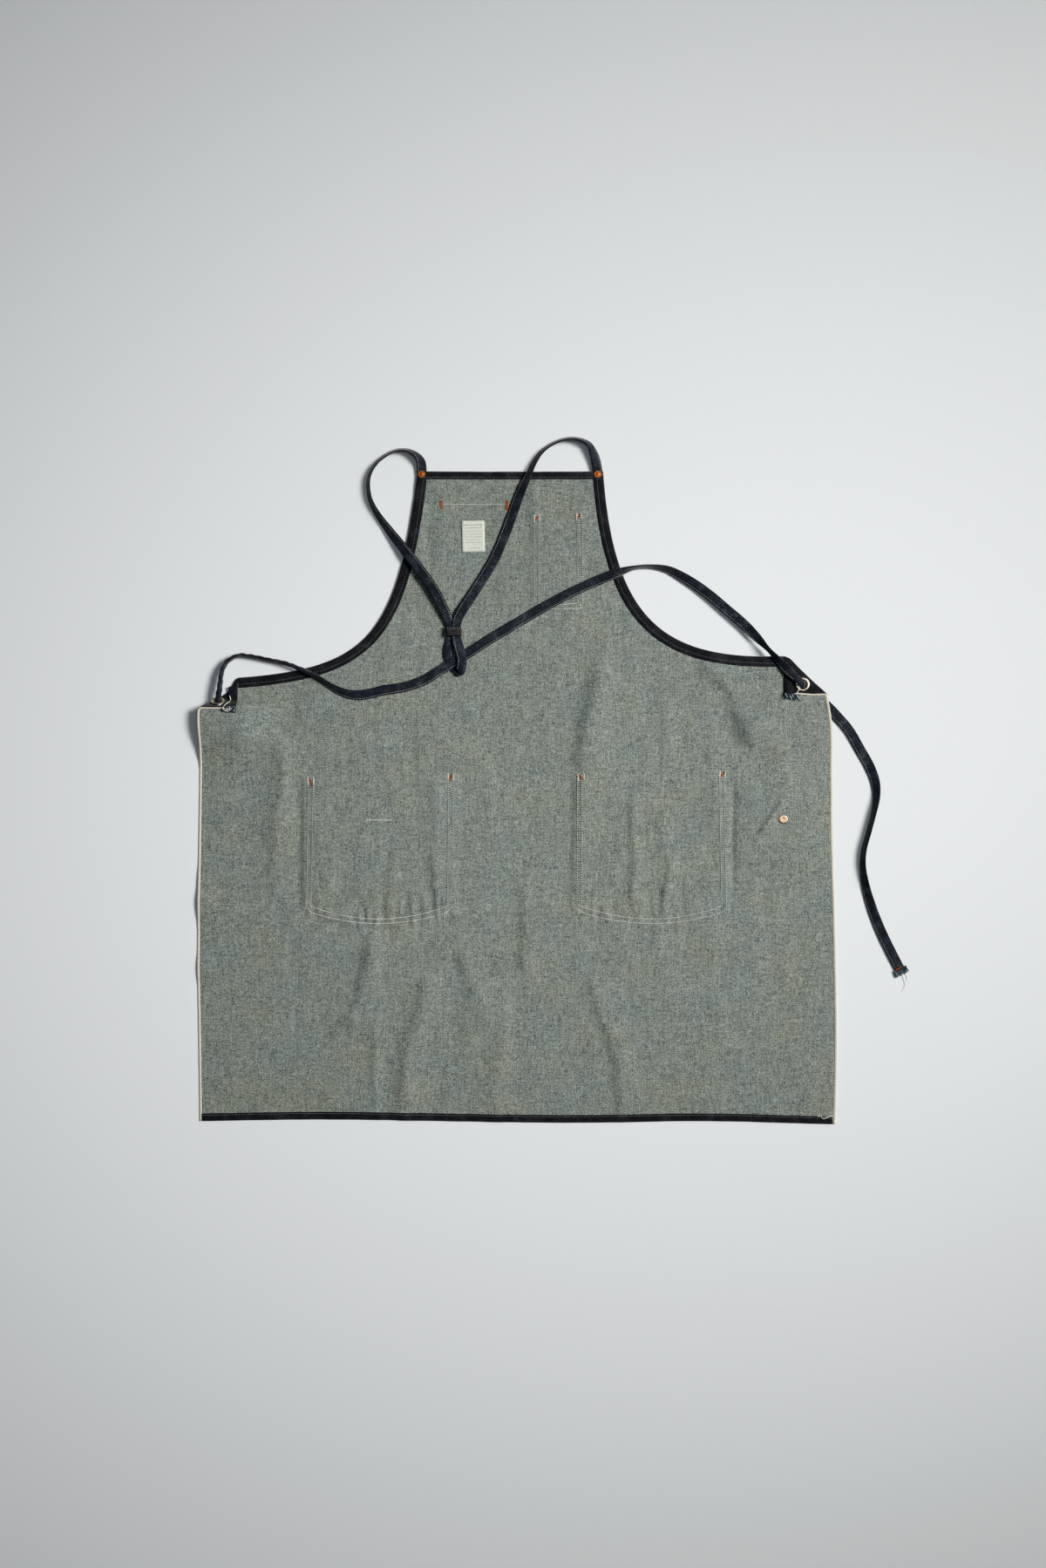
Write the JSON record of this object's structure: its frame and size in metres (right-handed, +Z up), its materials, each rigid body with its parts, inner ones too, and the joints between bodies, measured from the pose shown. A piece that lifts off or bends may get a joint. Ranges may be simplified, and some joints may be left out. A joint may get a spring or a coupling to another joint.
{
  "type": "work apron",
  "caption": "Denim bib work apron lying wrong side up, with bound armholes, turned corners with eyelets, a neck strap, a threaded waist tie and patch pockets underneath.",
  "frame": {"origin": "centre of the bounding box of the apron and neck strap, without the waist tie, at the surface that it lies on", "axes": "+Y from the lower hem towards the bib, +Z up off the surface, out of the wrong side of the cloth"},
  "size_m": [0.8656, 0.8439, 0.0242],
  "materials": {
    "pale_denim": "pale wrong side of indigo denim",
    "dark_denim": "raw indigo denim",
    "white_cotton": "plain woven cotton",
    "copper": "dull copper",
    "brass": "nickelled brass"
  },
  "bodies": {
    "root": {"body_panel": "pale_denim", "bottom_hem": "dark_denim", "bib_hem": "dark_denim", "armhole_binding_left": "dark_denim", "armhole_binding_right": "dark_denim", "corner_flap_left": "dark_denim", "corner_flap_right": "dark_denim", "flap_binding_left": "dark_denim", "flap_binding_right": "dark_denim", "hip_pocket_left": "dark_denim", "hip_pocket_right": "dark_denim", "pencil_pocket": "dark_denim", "label_patch": "white_cotton", "rivet_left": "copper", "rivet_right": "copper", "side_stud": "copper", "eyelet_left": "brass", "eyelet_right": "brass", "neck_strap": "dark_denim", "strap_keeper": "dark_denim", "waist_tie": "dark_denim"}
  },
  "joints": []
}
